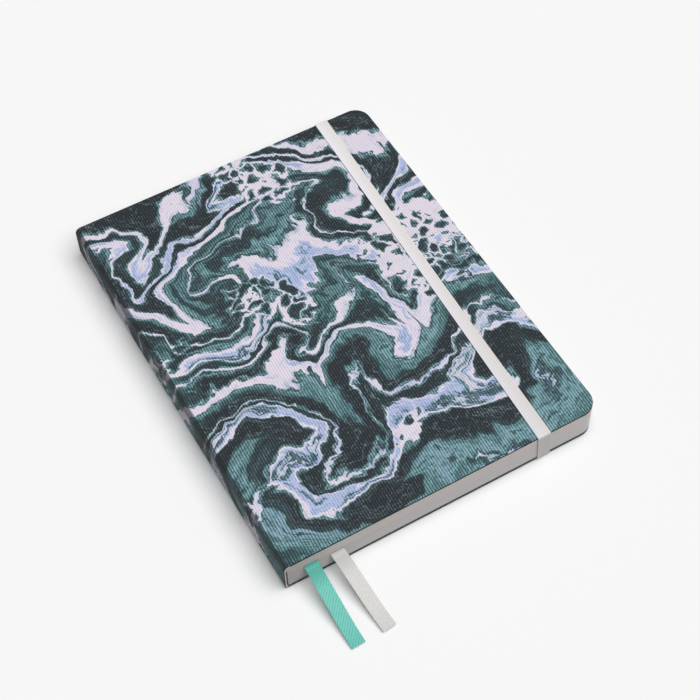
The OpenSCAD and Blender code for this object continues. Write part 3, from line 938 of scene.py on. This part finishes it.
def ribbon_mesh(name, line, side, twill):
    """A flat woven strip along a line, with the twill's diagonal ridges on both faces."""
    work = bmesh.new()
    flat = work.loops.layers.uv.new("print")
    rings, place, run = [], {}, 0.0
    for i, centre in enumerate(line):
        if i:
            run += (centre - line[i - 1]).length
        way = (line[min(i + 1, len(line) - 1)] - line[max(i - 1, 0)]).normalized()
        up = way.cross(side).normalized()
        ring = []
        for face_side in (1, -1):
            for k in range(RIBBON_COLUMNS + 1):
                across = RIBBON_W * (k / RIBBON_COLUMNS - 0.5) * face_side
                phase = run * twill[0] + across * face_side * twill[1]
                groove = TWILL_DEPTH * (1 - abs(math.sin(math.pi * phase)))
                thinned = SELVEDGE if k in (0, RIBBON_COLUMNS) else 1
                height = (RIBBON_T / 2 - groove) * thinned
                co = centre + side * across + up * height * face_side
                co.z = max(co.z, 0.0)
                vertex = work.verts.new(co)
                place[vertex] = (across * face_side, run)
                ring.append(vertex)
        rings.append(ring)
    lay_flat(tube(work, rings), flat, place)
    return mesh_of(name, work, FINE_SHARP_DEG)


def ribbon(name, node, exit_place, twill, material):
    """The free ribbon as a cord, and the stretch that lies between the pages to its glued end."""
    way = ribbon_way(exit_place)
    side = Vector((-way.y, way.x, 0))
    points = ribbon_points(exit_place)
    line = smooth_line(points, RIBBON_STEP)
    free = piece(name, ribbon_mesh(name, line, side, twill), [material], "book_block", node, node)
    hidden_name = name + "_between_pages"
    root = Vector((RIBBON_ROOT.x, RIBBON_ROOT.y, exit_place.z))
    start = points[0] + (root - points[0]).normalized() * HIDDEN_GAP
    hidden_line = [start.lerp(root, i / HIDDEN_STEPS) for i in range(HIDDEN_STEPS + 1)]
    hidden = ribbon_mesh(hidden_name, hidden_line, side, twill)
    piece(hidden_name, hidden, [material], "book_block", node, node)


def carry_over(look, *nodes):
    """Gives CAD nodes whose shape is right a finished material."""
    for node in nodes:
        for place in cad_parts[node].material_slots:
            place.material = look


def camera():
    data = bpy.data.cameras.new("camera")
    data.lens = CAMERA_LENS
    data.sensor_width = SENSOR
    data.clip_start, data.clip_end = 0.01, 20
    made = bpy.data.objects.new("camera", data)
    bpy.context.collection.objects.link(made)
    forward = CAMERA_RIGHT.cross(CAMERA_DOWN)
    turn = Matrix((CAMERA_RIGHT, -CAMERA_DOWN, -forward)).transposed()
    made.matrix_world = Matrix.Translation(CAMERA_PLACE) @ turn.to_4x4()
    bpy.context.scene.camera = made


def floor():
    """A pale floor: it shows its own colour and the shadow, and throws back only a little light."""
    look = Look("floor")
    rays = look.add("LightPath", {}).outputs
    seen = look.math("MAXIMUM", rays["Is Camera Ray"], rays["Is Glossy Ray"])
    grey = look.mix(seen, (FLOOR_BOUNCE,) * 3 + (1,), (BACKDROP,) * 3 + (1,))
    shader = look.add("BsdfDiffuse", {"Color": grey})
    look.add("OutputMaterial", {"Surface": shader.outputs[0]})
    work = bmesh.new()
    bmesh.ops.create_grid(work, x_segments=8, y_segments=8, size=3)
    mesh = bpy.data.meshes.new("floor")
    work.to_mesh(mesh)
    work.free()
    mesh.materials.append(look.material)
    made = bpy.data.objects.new("floor", mesh)
    made.location.z = -FLOOR_DROP
    bpy.context.collection.objects.link(made)


def light():
    sun = bpy.data.lights.new("sun", "SUN")
    level_part = SUN_WAY.normalized().z
    sun.energy = SUN_SHARE / level_part * math.pi
    sun.angle = SUN_SPREAD
    lamp = bpy.data.objects.new("sun", sun)
    lamp.rotation_mode = "QUATERNION"
    lamp.rotation_quaternion = SUN_WAY.to_track_quat("Z", "Y")
    bpy.context.collection.objects.link(lamp)

    world = bpy.data.worlds.new("studio")
    bpy.context.scene.world = world
    world.use_nodes = True
    tree = world.node_tree
    tree.nodes.clear()
    rays = add_node(tree, "LightPath", {}).outputs
    either = {0: rays["Is Camera Ray"], 1: rays["Is Transmission Ray"]}
    seen = add_node(tree, "Math", either, operation="MAXIMUM")
    backdrop = add_node(tree, "Background", {0: (BACKDROP,) * 3 + (1,)})
    sky = add_node(tree, "Background", {0: (1, 1, 1, 1), 1: 1 - SUN_SHARE})
    mixed = add_node(tree, "MixShader", {0: seen.outputs[0], 1: sky.outputs[0], 2: backdrop.outputs[0]})
    add_node(tree, "OutputWorld", {0: mixed.outputs[0]})
    bpy.context.scene.view_settings.view_transform = "Standard"


camera()
ribbon("mint_ribbon_marker", "mint_ribbon", MINT_EXIT, MINT_TWILL,
       twill_ribbon("mint_twill", MINT_TWILL, "#6ac5b7", "#2c9888"))
ribbon("grey_ribbon_marker", "grey_ribbon", GREY_EXIT, GREY_TWILL,
       twill_ribbon("grey_twill", GREY_TWILL, "#d5d4d1", "#b2b0ac"))

cloth = [marbled_cloth(), cut_edge("cloth_cut_edge", "#131415", "#08090a")]
front_cover_cloth(cloth)
spine_cover_cloth(cloth)
back_cover_cloth(cloth)
page_stack(page_edges())
elastic(woven_elastic())
carry_over(raw_card("pale_card", "#d8d3ca", "#aaa39a"), "spine_board")
carry_over(raw_card("dark_card", "#141415", "#0a0a0b"), "front_board", "back_board")
carry_over(plain_paper(), "front_pastedown", "front_flyleaf", "back_flyleaf", "back_pastedown")
carry_over(gauze(), "spine_lining")
floor()
light()
